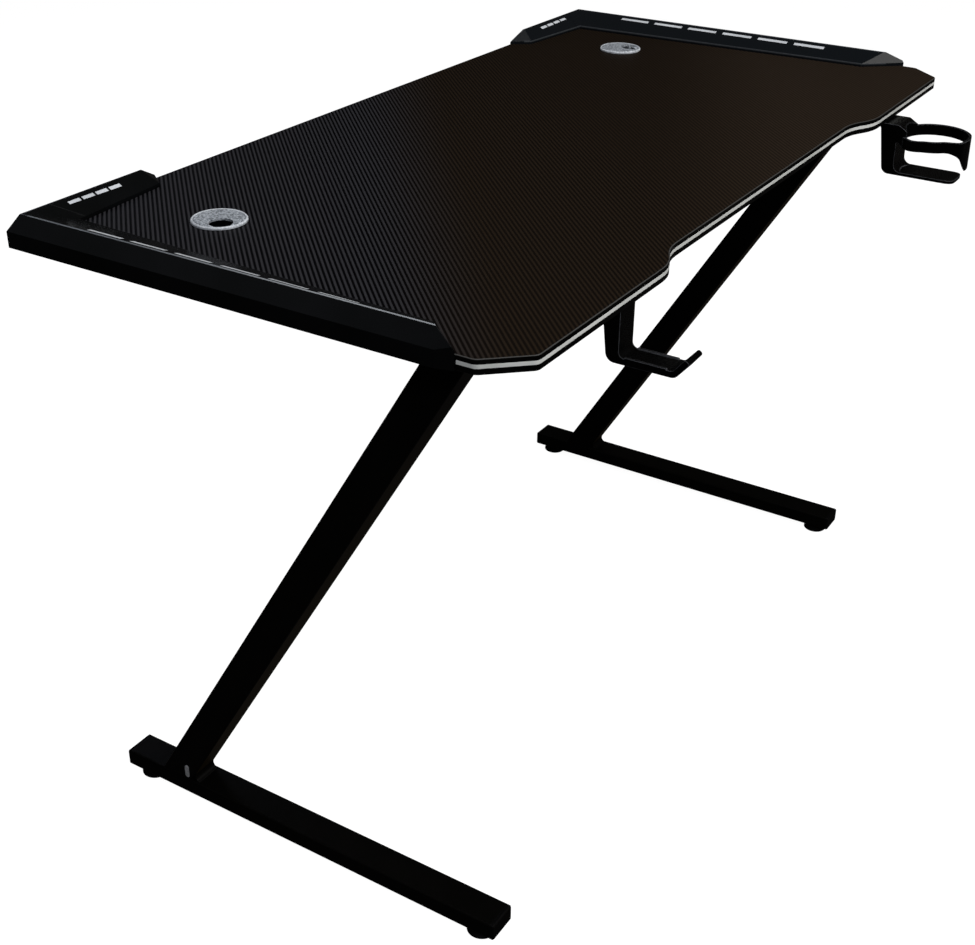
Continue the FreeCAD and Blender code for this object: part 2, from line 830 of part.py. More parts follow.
def weld_fillets():
    # Concave beads in the two acute corners, each closed by an arc that touches both tubes.
    beads = []
    for y, z, turn in ((leg_foot_y - leg_section / 2.0, foot_top, 1.0),
                       (leg_top_y + leg_section / 2.0, arm_bottom, -1.0)):
        along = Vector(0, -turn, 0)
        rise = Vector(0, turn * leg_run, turn * leg_rise)
        rise.normalize()
        middle = along + rise
        middle.normalize()
        half_angle = along.getAngle(rise) / 2.0
        radius = weld_leg * math.tan(half_angle)
        corner = Vector(frame_x - tube_width / 2.0 + tube_corner, y, z)
        foot = corner + along * weld_leg
        head = corner + rise * weld_leg
        trough = Part.Arc(foot, corner + middle * (radius / math.sin(half_angle) - radius), head).toShape()
        outline = Part.Wire([Part.makeLine(corner, foot), trough, Part.makeLine(head, corner)])
        beads.append(Part.Face(outline).extrude(Vector(tube_width - 2.0 * tube_corner, 0, 0)))
    return joined(beads)


def drain_slot(fit, depth):
    # Upright slot with round ends through the outer wall of the leg, close above the foot.
    radius = plug_width / 2.0 + fit
    reach = plug_length / 2.0 + fit
    middle_z = foot_top + plug_rise + plug_length / 2.0
    middle_y = leg_foot_y + leg_run / leg_rise * (middle_z - foot_top) - plug_offset
    face = rounded_face([(middle_y - radius, middle_z - reach, radius * 0.999),
                         (middle_y + radius, middle_z - reach, radius * 0.999),
                         (middle_y + radius, middle_z + reach, radius * 0.999),
                         (middle_y - radius, middle_z + reach, radius * 0.999)], side_view)
    face.translate(Vector(frame_x + tube_width / 2.0 - depth, 0, 0))
    return face.extrude(Vector(depth, 0, 0))


def drain_plug():
    # Bright plug: a stem through the wall of the leg and a thin head over the slot.
    stem = drain_slot(0, tube_wall)
    head = drain_slot(plug_head, plug_head)
    head.translate(Vector(plug_head, 0, 0))
    return one_solid(stem.fuse(head))


def leveller_ys():
    return foot_front_y + leveller_inset, foot_back_y - leveller_inset


def foot_tube():
    start = Vector(frame_x, foot_front_y + cap_thickness, foot_clearance + foot_height / 2.0)
    foot = tube(tube_width, foot_height, start, Vector(0, foot_length - 2.0 * cap_thickness, 0))
    for y in leveller_ys():
        foot = foot.cut(rod(stud_radius + hex_gap, tube_wall, Vector(frame_x, y, foot_clearance)))
    return one_solid(foot)


def end_cap(height, middle_z, y, outward):
    # Moulded cap with a bevelled face and a hollow plug that grips the inside of the tube.
    width = tube_width
    face = tube_face(width, height, tube_corner, end_view)
    head = face.extrude(Vector(0, outward * cap_thickness, 0))
    far = [e for e in head.Edges if abs(e.CenterOfMass.y - outward * cap_thickness) < 1e-6]
    head = head.makeChamfer(cap_bevel, far)
    plug_w = width - 2.0 * (tube_wall + cap_fit)
    plug_h = height - 2.0 * (tube_wall + cap_fit)
    plug = tube_face(plug_w, plug_h, tube_corner - tube_wall, end_view).extrude(
        Vector(0, -outward * cap_plug_length, 0))
    pocket = tube_face(plug_w - 2.0 * cap_plug_wall, plug_h - 2.0 * cap_plug_wall, 0, end_view).extrude(
        Vector(0, -outward * cap_plug_length, 0))
    rib = Part.makeBox(cap_plug_wall, cap_plug_length, plug_h,
                       Vector(-cap_plug_wall / 2.0, 0 if outward < 0 else -cap_plug_length, -plug_h / 2.0))
    cap = head.fuse(plug.cut(pocket)).fuse(rib)
    cap.translate(Vector(frame_x, y, middle_z))
    return one_solid(cap)


def arm_caps():
    middle = arm_bottom + arm_height / 2.0
    front = end_cap(arm_height, middle, arm_front_y + cap_thickness, -1.0)
    back = end_cap(arm_height, middle, arm_front_y + arm_length - cap_thickness, 1.0)
    return front, back


def foot_caps():
    middle = foot_clearance + foot_height / 2.0
    front = end_cap(foot_height, middle, foot_front_y + cap_thickness, -1.0)
    back = end_cap(foot_height, middle, foot_back_y - cap_thickness, 1.0)
    return front, back


# Cross beam under the board


def beam_bolt_ys():
    return beam_y - beam_bolt_spacing / 2.0, beam_y + beam_bolt_spacing / 2.0


def cross_beam():
    half_span = frame_x - tube_width / 2.0 - beam_plate_thickness
    start = Vector(-half_span, beam_y, board_bottom - beam_height / 2.0)
    beam = tube(beam_depth, beam_height, start, Vector(2.0 * half_span, 0, 0))
    for x in (-beam_screw_spacing / 2.0, beam_screw_spacing / 2.0):
        beam = beam.cut(screw_path(x, beam_y, board_bottom - beam_height, board_bottom))
    return one_solid(beam)


def beam_plate():
    # End plate of the beam, with rounded ends, bolted to the inner wall of the arm.
    face = tube_face(beam_plate_length, beam_height, tube_corner, side_view)
    plate = face.extrude(Vector(beam_plate_thickness, 0, 0))
    inner_x = frame_x - tube_width / 2.0 - beam_plate_thickness
    plate.translate(Vector(inner_x, beam_y, board_bottom - beam_height / 2.0))
    for y in beam_bolt_ys():
        place = Vector(inner_x, y, board_bottom - beam_height / 2.0)
        plate = plate.cut(rod(bolt_radius + bolt_fit, beam_plate_thickness, place, Vector(1, 0, 0)))
    return plate


def beam_bolts():
    axis = Vector(1, 0, 0)
    seat_x = frame_x - tube_width / 2.0 - beam_plate_thickness
    bolts = []
    for y in beam_bolt_ys():
        seat = Vector(seat_x, y, board_bottom - beam_height / 2.0)
        head = rod(bolt_head_radius, bolt_head_height, seat - axis * bolt_head_height, axis)
        shank = rod(bolt_radius, bolt_length, seat, axis)
        bolts.append(one_solid(head.fuse(shank)))
    return bolts


def board_screw(x, y, seat):
    return driven_screw(Vector(x, y, seat), board_bottom + screw_bite - screw_tip - seat)


def top_screws():
    seat = board_bottom - tube_wall
    places = [(side * frame_x, y) for side in (-1, 1) for y in arm_screw_ys()]
    places += [(side * beam_screw_spacing / 2.0, beam_y) for side in (-1, 1)]
    return [board_screw(x, y, seat) for x, y in places]


# Levelling feet


def leveller_pad(x, y):
    bore = stud_radius + stud_clearance
    points = [
        (0, 0),
        (pad_radius - pad_edge / 3.0, 0),
        (pad_radius, pad_edge / 3.0),
        (pad_radius, pad_edge),
        (pad_neck_radius, pad_height - pad_floor / 2.0),
        (pad_neck_radius - pad_neck_bevel, pad_height),
        (bore, pad_height),
        (bore, pad_floor),
        (0, pad_floor),
    ]
    return turned(points, Vector(x, y, 0))


def leveller_stud(x, y):
    # Threaded stud drawn at its plain diameter, with a spanner collar above the pad.
    bottom = pad_floor + stud_float
    stud = rod(stud_radius, stud_length, Vector(x, y, bottom))
    collar_low = pad_height + hex_gap
    collar_high = foot_clearance - hex_gap
    corners = []
    reach = hex_size / 2.0 / math.cos(math.radians(30))
    for i in range(6):
        turn = math.radians(60 * i + 30)
        corners.append(Vector(x + reach * math.cos(turn), y + reach * math.sin(turn), collar_low))
    collar = flat_face(corners).extrude(Vector(0, 0, collar_high - collar_low))
    return one_solid(stud.fuse(collar))


def leveller_nut(x, y):
    base = Vector(x, y, foot_clearance + tube_wall)
    return rod(nut_radius, nut_height, base).cut(rod(stud_radius + stud_clearance, nut_height, base))


# Headphone hook


def hook_screw_places():
    y = -half_depth + hook_setback + hook_depth_top + hook_flange_length / 2.0
    return [(hook_x - bracket_screw_spacing / 2.0, y), (hook_x + bracket_screw_spacing / 2.0, y)]


def headphone_hook():
    # Moulded strap with an open back, a flat arm with raised rims and an upturned lip.
    front = -half_depth + hook_setback
    arm_z = board_bottom - hook_drop
    low_z = arm_z - hook_thickness
    lip_y = front - hook_reach
    tip_z = arm_z + hook_lip_rise
    back_y = front + hook_depth_top + hook_flange_length
    flange_z = board_bottom - hook_flange
    corners = [
        (front, board_bottom, 0),
        (front, arm_z, hook_thickness),
        (lip_y, arm_z, hook_thickness),
        (lip_y - hook_lip_run, tip_z, hook_lip_tip * 0.4),
        (lip_y - hook_lip_run - hook_lip_tip * 0.8, tip_z - hook_lip_tip * 0.6, hook_lip_tip * 0.4),
        (lip_y - hook_lip_tip * 0.5, low_z, hook_thickness * 1.5),
        (front + hook_depth_low, low_z, hook_thickness * 1.5),
        (front + hook_depth_top, flange_z, hook_wall),
        (back_y, flange_z, 0),
        (back_y, board_bottom, 0),
    ]
    left_x = hook_x - hook_width / 2.0
    body = rounded_face(corners, side_view)
    body.translate(Vector(left_x, 0, 0))
    hook = body.extrude(Vector(hook_width, 0, 0))
    pocket = box_between(Vector(left_x + hook_wall, front + hook_wall, arm_z + hook_wall),
                         Vector(left_x + hook_width - hook_wall, back_y, flange_z))
    hook = hook.cut(pocket)
    for x in (left_x, left_x + hook_width - hook_rim):
        rim = box_between(Vector(x, lip_y + hook_thickness, arm_z),
                          Vector(x + hook_rim, front - hook_thickness, arm_z + hook_rim_height))
        hook = hook.fuse(rim)
    for x, y in hook_screw_places():
        hook = hook.cut(rod(screw_radius + screw_fit, hook_flange, Vector(x, y, flange_z)))
    return one_solid(hook)


# Cup holder


def cup_screw_places():
    y = -half_depth + cup_flange_length * 0.6
    return [(cup_x - bracket_screw_spacing / 2.0, y), (cup_x + bracket_screw_spacing / 2.0, y)]


def cup_ring():
    # Round band with a level upper edge and a claw hanging from its front, cut from a tall ring.
    top = board_bottom - cup_ring_drop
    low = top - cup_ring_height
    tip = low - cup_lobe_drop
    front = cup_ring_y - cup_ring_radius - cup_ring_wall
    back = cup_ring_y + cup_ring_radius + cup_ring_wall
    outline = rounded_face([
        (back, top, 0),
        (front, top, 0),
        (front, tip, 0),
        (front + cup_ring_wall + cup_lobe_tip, tip, cup_lobe_tip / 2.0),
        (front + cup_ring_wall + cup_lobe_run, low, cup_lobe_radius),
        (back, low, 0),
    ], side_view)
    outline.translate(Vector(cup_x - cup_ring_radius - cup_ring_wall, 0, 0))
    slice_block = outline.extrude(Vector(2.0 * (cup_ring_radius + cup_ring_wall), 0, 0))
    base = Vector(cup_x, cup_ring_y, tip)
    height = top - tip
    ring = rod(cup_ring_radius, height, base).cut(rod(cup_ring_radius - cup_ring_wall, height, base))
    return ring.common(slice_block)


def cup_web():
    # Side outline of web, root, tongue and hidden flange, trimmed to a round-nosed tongue in plan.
    edge = -half_depth
    tongue_z = board_bottom - cup_drop
    low_z = tongue_z - cup_tongue_thickness
    ring_top = board_bottom - cup_ring_drop
    ring_low = ring_top - cup_ring_height
    foot_back = edge - cup_web_lean
    foot_front = foot_back - cup_web_depth
    tip = edge - cup_tongue_reach
    flange_z = board_bottom - cup_flange
    corners = [
        (edge - cup_root_length, board_bottom, cup_root_round),
        (edge - cup_root_length - cup_root_slope, ring_top, 0),
        (edge - cup_root_length - cup_root_slope, ring_low, 0),
        (foot_front + cup_web_draft, ring_low, cup_root_round),
        (foot_front, tongue_z, cup_bend_radius),
        (tip, tongue_z, 0),
        (tip, low_z, 0),
        (foot_back, low_z, cup_bend_radius),
        (edge + cup_web_back, flange_z, cup_wall),
        (edge + cup_flange_length, flange_z, 0),
        (edge + cup_flange_length, board_bottom, 0),
    ]
    left_x = cup_x - cup_web_width / 2.0
    face = rounded_face(corners, side_view)
    face.translate(Vector(left_x, 0, 0))
    web = face.extrude(Vector(cup_web_width, 0, 0))
    nose_y = tip + cup_web_width / 2.0
    nose = rod(cup_web_width / 2.0, board_bottom - low_z, Vector(cup_x, nose_y, low_z))
    stem = box_between(Vector(left_x, nose_y, low_z),
                       Vector(left_x + cup_web_width, edge + cup_flange_length, board_bottom))
    web = web.common(nose.fuse(stem))
    pocket_y = foot_front + cup_wall + cup_web_lean / 2.0
    pocket = box_between(Vector(left_x + cup_wall, pocket_y, tongue_z + cup_bend_radius),
                         Vector(left_x + cup_web_width - cup_wall, edge + cup_flange_length, flange_z))
    return web.cut(pocket)


def cup_holder():
    tongue_z = board_bottom - cup_drop
    holder = cup_web().fuse(cup_ring())
    holder = holder.cut(rod(cup_ring_radius - cup_ring_wall, cup_drop, Vector(cup_x, cup_ring_y, tongue_z)))
    for x, y in cup_screw_places():
        hole = rod(screw_radius + screw_fit, cup_flange, Vector(x, y, board_bottom - cup_flange))
        holder = holder.cut(hole)
    return one_solid(holder)


def bracket_screws(places, flange):
    return [board_screw(x, y, board_bottom - flange) for x, y in places]


# Board with its holes, then everything to file


def bored_board(core):
    holes = []
    for side in (-1, 1):
        place = Vector(side * grommet_x, grommet_y, board_bottom)
        holes.append(rod(grommet_hole_radius, board_thickness, place))
        x, y = gland_place()
        holes.append(rod(gland_radius, board_thickness, Vector(side * x, y, board_bottom)))
        for x, y in bar_screw_places():
            place = Vector(side * x, y, board_bottom)
            holes.append(rod(screw_radius + screw_fit, board_thickness, place))
    places = [(side * frame_x, y) for side in (-1, 1) for y in arm_screw_ys()]
    places += [(side * beam_screw_spacing / 2.0, beam_y) for side in (-1, 1)]
    places += hook_screw_places() + cup_screw_places()
    for x, y in places:
        holes.append(rod(screw_radius + pilot_fit, screw_bite, Vector(x, y, board_bottom)))
    return one_solid(core.cut(joined(holes)))


def save_pair(name, shape):
    save(name + "_right", shape)
    save(name + "_left", mirrored(shape))


def build_desktop():
    core, band, stripe = desktop_pieces()
    save("desktop_board", bored_board(core))
    save("edge_band", band)
    save("edge_stripe", stripe)


def build_light_bars():
    block = bar_block(0)
    hollow = bar_block(bar_wall)
    side_cover, back_cover = bar_covers(block, hollow)
    save_pair("side_bar_cover", side_cover)
    save_pair("back_bar_cover", back_cover)
    side_diffuser, back_diffuser = bar_diffusers(hollow)
    save_pair("side_diffuser", side_diffuser)
    save_pair("back_diffuser", back_diffuser)
    save_pair("bar_base", bar_base())
    side_leds, back_leds = bar_led_strips()
    save_pair("side_led_strip", side_leds)
    save_pair("back_led_strip", back_leds)
    save_pair("cable_gland", cable_gland())
    screws = bar_screws()
    save("bar_screws", *screws, *[mirrored(s) for s in screws])


def build_grommets():
    for name, side, angle in (("left", -1, cap_angle_left), ("right", 1, cap_angle_right)):
        centre = Vector(side * grommet_x, grommet_y, desk_height)
        save("grommet_ring_" + name, grommet_ring(centre))
        save("grommet_cap_" + name, grommet_cap(centre, angle))


def build_frames():
    save_pair("top_arm", top_arm())
    save_pair("leg_tube", leg_tube())
    save_pair("foot_tube", foot_tube())
    save_pair("drain_plug", drain_plug())
    for name, (front, back) in (("arm_cap", arm_caps()), ("foot_cap", foot_caps())):
        save_pair(name + "_front", front)
        save_pair(name + "_back", back)
    save("cross_beam", cross_beam())
    save_pair("beam_plate", beam_plate())
    bolts = beam_bolts()
    save("beam_bolts", *bolts, *[mirrored(b) for b in bolts])
    save("top_screws", *top_screws())


def build_levellers():
    front_y, back_y = leveller_ys()
    nuts = []
    for end, side in (("left", -1), ("right", 1)):
        for place, y in (("front", front_y), ("back", back_y)):
            x = side * frame_x
            save("leveller_pad_" + place + "_" + end, leveller_pad(x, y))
            save("leveller_stud_" + place + "_" + end, leveller_stud(x, y))
            nuts.append(leveller_nut(x, y))
    save("leveller_nuts", *nuts)


def build_brackets():
    save("headphone_hook", headphone_hook())
    save("hook_screws", *bracket_screws(hook_screw_places(), hook_flange))
    save("cup_holder", cup_holder())
    save("cup_screws", *bracket_screws(cup_screw_places(), cup_flange))


os.makedirs("parts", exist_ok=True)
build_desktop()
build_light_bars()
build_grommets()
build_frames()
build_levellers()
build_brackets()
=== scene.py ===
import json
import math

import bpy
import numpy as np
from mathutils import Euler, Matrix, Vector


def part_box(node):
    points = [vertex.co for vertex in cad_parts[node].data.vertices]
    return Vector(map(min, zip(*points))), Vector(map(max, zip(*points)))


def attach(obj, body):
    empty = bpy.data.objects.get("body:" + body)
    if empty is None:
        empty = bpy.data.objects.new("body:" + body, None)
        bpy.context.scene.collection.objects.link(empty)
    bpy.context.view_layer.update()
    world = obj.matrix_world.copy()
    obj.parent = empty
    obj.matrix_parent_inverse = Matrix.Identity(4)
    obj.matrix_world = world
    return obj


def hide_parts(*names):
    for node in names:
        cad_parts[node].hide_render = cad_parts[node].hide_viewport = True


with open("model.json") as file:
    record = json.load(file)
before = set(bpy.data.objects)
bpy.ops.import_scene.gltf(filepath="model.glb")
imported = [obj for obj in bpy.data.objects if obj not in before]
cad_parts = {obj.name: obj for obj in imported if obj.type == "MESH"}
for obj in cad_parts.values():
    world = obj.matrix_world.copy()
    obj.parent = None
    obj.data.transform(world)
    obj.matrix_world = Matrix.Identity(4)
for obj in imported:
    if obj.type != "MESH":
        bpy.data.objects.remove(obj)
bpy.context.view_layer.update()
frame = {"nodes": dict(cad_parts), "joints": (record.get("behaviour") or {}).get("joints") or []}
nodes = frame["nodes"]
boardLow, boardTop = (corner.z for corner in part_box("desktop_board"))
barFar, barBack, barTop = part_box("side_bar_cover_right")[1]  # the right bar's outer side, back edge and ridge
print("frame loaded:", len(nodes), "nodes")


def hexLinear(code):
    # sRGB hex to linear red, green, blue and alpha, with the constants of the sRGB curve
    srgb = np.array([int(code[i:i + 2], 16) for i in (1, 3, 5)]) / 255.0
    linear = np.where(srgb <= 0.04045, srgb / 12.92, ((srgb + 0.055) / 1.055) ** 2.4)
    return (*linear.tolist(), 1.0)


def addNode(tree, kind, settings=None, values=None, links=None):
    # one node with its settings, its socket values and its incoming links
    node = tree.nodes.new(kind)
    for name, value in (settings or {}).items():
        setattr(node, name, value)
    for name, value in (values or {}).items():
        node.inputs[name].default_value = value
    for name, (source, socket) in (links or {}).items():
        tree.links.new(source.outputs[socket], node.inputs[name])
    return node


def rampColours(node, stops):
    # the two stops of a colour ramp as (place, hex colour)
    for element, (place, code) in zip(node.color_ramp.elements, stops):
        element.position = place
        element.color = hexLinear(code)
    return node


def startMaterial(name, values):
    # material with one Principled shader, whose even values are set on its own sockets
    material = bpy.data.materials.new(name)
    material.use_nodes = True
    tree = material.node_tree
    tree.nodes.clear()
    shader = addNode(tree, "ShaderNodeBsdfPrincipled", values=values)
    addNode(tree, "ShaderNodeOutputMaterial", links={"Surface": (shader, "BSDF")})
    place = addNode(tree, "ShaderNodeTexCoord")
    return material, tree, shader, place


def perMetre(mm):
    # texture scale for one repeat in that many millimetres
    return 1000.0 / mm


def drift(tree, place, direction, start, end):
    # slow change from 0 to 1 along a direction in the object, between two distances in metres
    along = addNode(tree, "ShaderNodeVectorMath", {"operation": "DOT_PRODUCT"}, {1: direction},
                    {0: (place, "Object")})
    return addNode(tree, "ShaderNodeMapRange", {"interpolation_type": "SMOOTHSTEP"},
                   {"From Min": start, "From Max": end}, {"Value": (along, "Value")})


def between(tree, value, low, high, soft):
    # 1 where a value lies between two limits, 0 outside, with a soft step at each
    rise = addNode(tree, "ShaderNodeMapRange", values={"From Min": low - soft, "From Max": low + soft},
                   links={"Value": value})
    fall = addNode(tree, "ShaderNodeMapRange",
                   values={"From Min": high - soft, "From Max": high + soft, "To Min": 1.0, "To Max": 0.0},
                   links={"Value": value})
    return addNode(tree, "ShaderNodeMath", {"operation": "MULTIPLY"},
                   links={0: (rise, "Result"), 1: (fall, "Result")})


# Arrises: rounded in the shading, and some pieces get a painted highlight along them
arrisLook = dict(samples=6, highlightStart=0.985, highlightFull=0.86)  # agreement of rounded and flat normals


def softEdges(tree, shader, height, depth, strength, edgeMm):
    # surface grain over edges that are rounded by a small radius, so that they catch light as moulded ones do
    edge = addNode(tree, "ShaderNodeBevel", {"samples": arrisLook["samples"]}, {"Radius": edgeMm / 1000.0})
    bump = addNode(tree, "ShaderNodeBump", values={"Strength": strength, "Distance": depth},
                   links={"Height": height, "Normal": (edge, "Normal")})
    tree.links.new(bump.outputs["Normal"], shader.inputs["Normal"])
    return edge


def paintedEdgeHighlights(tree, shader, edge, colour, paintedHighlight):
    # painted highlight: paler colour where the rounded normal leaves the flat one, which is only along arrises
    flat = addNode(tree, "ShaderNodeNewGeometry")
    agree = addNode(tree, "ShaderNodeVectorMath", {"operation": "DOT_PRODUCT"},
                    links={0: (edge, "Normal"), 1: (flat, "Normal")})
    share = addNode(tree, "ShaderNodeMapRange",
                    values={"From Min": arrisLook["highlightStart"], "From Max": arrisLook["highlightFull"]},
                    links={"Value": (agree, "Value")})
    tint = addNode(tree, "ShaderNodeMix", {"data_type": "RGBA"}, {"B": hexLinear(paintedHighlight)},
                   {"Factor": (share, "Result"), "A": (colour, "Color")})
    tree.links.new(tint.outputs["Result"], shader.inputs["Base Color"])


# Desktop film: PVC foil embossed as carbon twill; the ribs are painted lighter than the grooves, partly the
# twill's own tone and partly painted sheen on the ribs and painted shade in the grooves
filmLook = dict(ribMm=4.8, crossMm=2.4, crossShare=0.14, ribsDeg=45.0, ribDepth=0.00025, ribStrength=0.5,
                groove="#010102", rib="#2a2a2d", reflectedWarmGroove="#0e0a07", reflectedWarmRib="#1f1811",
                paintedLightGroove="#18130e", paintedLightRib="#2b231c", grooveAt=0.36, ribAt=0.7,
                warmReflectionAlong=(1.0, -1.3, 0.0), warmReflectionSpan=(-0.47, -0.26),  # painted warm reflection: black at the back left, then brown
                paintedLightAlong=(1.0, -2.0, 0.0), paintedLightSpan=(0.1, 0.62),  # painted light: a little paler towards the front right
                ior=1.5, specular=0.02, roughness=0.5, smoother=0.05, rougher=0.08,
                grainMm=0.9, grainDetail=2.0)  # grain drawn coarse enough to show


def carbonFilm():
    look = filmLook
    material, tree, shader, place = startMaterial(
        "carbonPvcFilm", {"IOR": look["ior"], "Specular IOR Level": look["specular"]})
    turned = addNode(tree, "ShaderNodeMapping", values={"Rotation": (0, 0, math.radians(look["ribsDeg"]))},
                     links={"Vector": (place, "Object")})  # ribs run aslant to the front edge
    # a Wave band repeats every 0.314 units at scale 1, so its scale is a tenth of pi per repeat
    rib, cross = [addNode(tree, "ShaderNodeTexWave",
                          {"wave_type": "BANDS", "bands_direction": axis, "wave_profile": "SIN"},
                          {"Scale": perMetre(look[repeat]) * math.pi / 10.0, "Distortion": 0.0},
                          {"Vector": (turned, "Vector")})
                  for axis, repeat in (("X", "ribMm"), ("Y", "crossMm"))]
    weave = addNode(tree, "ShaderNodeMix", {"data_type": "FLOAT"}, {"Factor": look["crossShare"]},
                    {"A": (rib, "Fac"), "B": (cross, "Fac")})
    # weave colours: a cool painted sheen on the ribs over near-black grooves, then a painted warm reflection,
    # paler with painted light towards the front right
    coolSheenWeave, reflectedBrown, paintedLightBrown = [
        rampColours(addNode(tree, "ShaderNodeValToRGB", links={"Fac": (weave, "Result")}),
                    [(look["grooveAt"], look[low]), (look["ribAt"], look[high])])
        for low, high in (("groove", "rib"), ("reflectedWarmGroove", "reflectedWarmRib"), ("paintedLightGroove", "paintedLightRib"))]
    # painted light: paler towards the front right
    paintedLight = drift(tree, place, look["paintedLightAlong"], *look["paintedLightSpan"])
    ground = addNode(tree, "ShaderNodeMix", {"data_type": "RGBA"},
                     links={"Factor": (paintedLight, "Result"), "A": (reflectedBrown, "Color"), "B": (paintedLightBrown, "Color")})
    # painted warm reflection: brown from the back left onwards
    warmReflection = drift(tree, place, look["warmReflectionAlong"], *look["warmReflectionSpan"])
    tint = addNode(tree, "ShaderNodeMix", {"data_type": "RGBA"},
                   links={"Factor": (warmReflection, "Result"), "A": (coolSheenWeave, "Color"), "B": (ground, "Result")})
    tree.links.new(tint.outputs["Result"], shader.inputs["Base Color"])
    grain = addNode(tree, "ShaderNodeTexNoise",
                    values={"Scale": perMetre(look["grainMm"]), "Detail": look["grainDetail"]},
                    links={"Vector": (place, "Object")})
    rough = addNode(tree, "ShaderNodeMapRange",
                    values={"To Min": look["roughness"] - look["smoother"],
                            "To Max": look["roughness"] + look["rougher"]},
                    links={"Value": (grain, "Fac")})
    tree.links.new(rough.outputs["Result"], shader.inputs["Roughness"])
    bump = addNode(tree, "ShaderNodeBump",
                   values={"Strength": look["ribStrength"], "Distance": look["ribDepth"]},
                   links={"Height": (weave, "Result")})
    tree.links.new(bump.outputs["Normal"], shader.inputs["Normal"])
    return material


# Moulded plastics: near-even colour, and a fine grain that scatters the gloss, drawn coarse enough to show
mouldLook = dict(ior=1.5, darkAt=0.36, lightAt=0.64, grainDetail=3.0, cloudDetail=2.0, grainStrength=0.4,
                 smoother=0.05, rougher=0.07, edgeMm=0.4)  # shared by all; a look may have its own edge
plasticLooks = {
    "stripeGreyPvc": dict(  # extruded strip: pale and even, with a soft sheen
        dark="#d5d8d4", light="#e6e8e5", roughness=0.42, specular=0.3,
        grainMm=2.0, cloudMm=60.0, bump=0.00002),
    "innerBlackAbs": dict(  # bases inside the bars: plain dull black
        dark="#0b0b0b", light="#141414", roughness=0.55, specular=0.3,
        grainMm=1.0, cloudMm=90.0, bump=0.00003),
    "lightStripFr4": dict(  # light strips: creamy white lacquer
        dark="#c9c8bd", light="#dcdbd2", roughness=0.5, specular=0.4,
        grainMm=1.5, cloudMm=30.0, bump=0.00002),
    "glandRubber": dict(  # moulded rubber: dull, without highlights
        dark="#0a0a0a", light="#151515", roughness=0.7, specular=0.3,
        grainMm=0.8, cloudMm=30.0, bump=0.00004),
    "capGreyAbs": dict(  # grommet caps: mid grey, strongly speckled
        dark="#464b51", light="#adb3ba", roughness=0.4, specular=0.2,
        grainMm=0.8, cloudMm=1.9, bump=0.00003),
    "capBlackPe": dict(  # tube end caps: deep black, waxy
        dark="#030303", light="#080808", roughness=0.5, specular=0.08,
        grainMm=0.9, cloudMm=60.0, bump=0.00004),
    "bracketBlackAbs": dict(  # hook and cup holder: deep black, with a painted highlight along the shiny arrises
        dark="#020202", light="#050505", roughness=0.26, specular=0.07,
        grainMm=0.9, cloudMm=40.0, bump=0.00003, edgeMm=1.1, paintedHighlight="#5c5e62"),
    "plugZincGlint": dict(  # plug low on the leg: pale zinc grey, evenly bright, partly its own colour and partly a painted glint
        dark="#a4a7a9", light="#c0c2c3", roughness=0.4, specular=0.3,
        grainMm=1.0, cloudMm=3.0, bump=0.00002),
    "padBlackPa": dict(  # levelling pads: dull black
        dark="#040404", light="#0a0a0a", roughness=0.6, specular=0.08,
        grainMm=0.9, cloudMm=40.0, bump=0.00004),
}


def mouldedPlastic(name, ownLook):
    look = {**mouldLook, **ownLook}
    material, tree, shader, place = startMaterial(
        name, {"IOR": look["ior"], "Specular IOR Level": look["specular"]})
    grain, cloud = [addNode(tree, "ShaderNodeTexNoise",
                            values={"Scale": perMetre(look[size]), "Detail": look[detail]},
                            links={"Vector": (place, "Object")})
                    for size, detail in (("grainMm", "grainDetail"), ("cloudMm", "cloudDetail"))]
    colour = rampColours(addNode(tree, "ShaderNodeValToRGB", links={"Fac": (cloud, "Fac")}),
                         [(look["darkAt"], look["dark"]), (look["lightAt"], look["light"])])
    tree.links.new(colour.outputs["Color"], shader.inputs["Base Color"])
    rough = addNode(tree, "ShaderNodeMapRange",
                    values={"To Min": look["roughness"] - look["smoother"],
                            "To Max": look["roughness"] + look["rougher"]},
                    links={"Value": (grain, "Fac")})
    tree.links.new(rough.outputs["Result"], shader.inputs["Roughness"])
    edge = softEdges(tree, shader, (grain, "Fac"), look["bump"], look["grainStrength"], look["edgeMm"])
    # painted highlight along the arrises, where the look gives a colour for it
    if "paintedHighlight" in look:
        paintedEdgeHighlights(tree, shader, edge, colour, look["paintedHighlight"])
    return material, tree, shader, place, colour


# Light bar covers: gloss black ABS, slightly blue; painted highlights on the ridge and on the right bars' low
# inner lip, and painted light making the right bars a little paler
barLook = dict(dark="#050606", light="#090a0b", roughness=0.24, grainMm=1.0, cloudMm=90.0, bump=0.00002,
               specular=0.1, edgeMm=0.7,
               paintedLight="#0f1215", paintedLightAlong=(1.0, 0.0, 0.0), paintedLightSpan=(-0.35, 0.4),  # painted light: right bars a little paler
               ridge="#54585c", ridgeDeep=0.00015, ridgeSoft=0.00005,  # depth of its flat below the top
               ridgeFront="#84888c", frontAlong=(-1.0, -1.0, 0.0), frontSpan=(0.33, 0.66),  # painted highlight, brighter at the left bar's front
               lip="#34373a", lipLow=0.0027, lipHigh=0.0046, lipSoft=0.0002,  # heights above the board
               outerWide=0.022, backWide=0.017)  # bare widths: at the outer side, and along the back edge


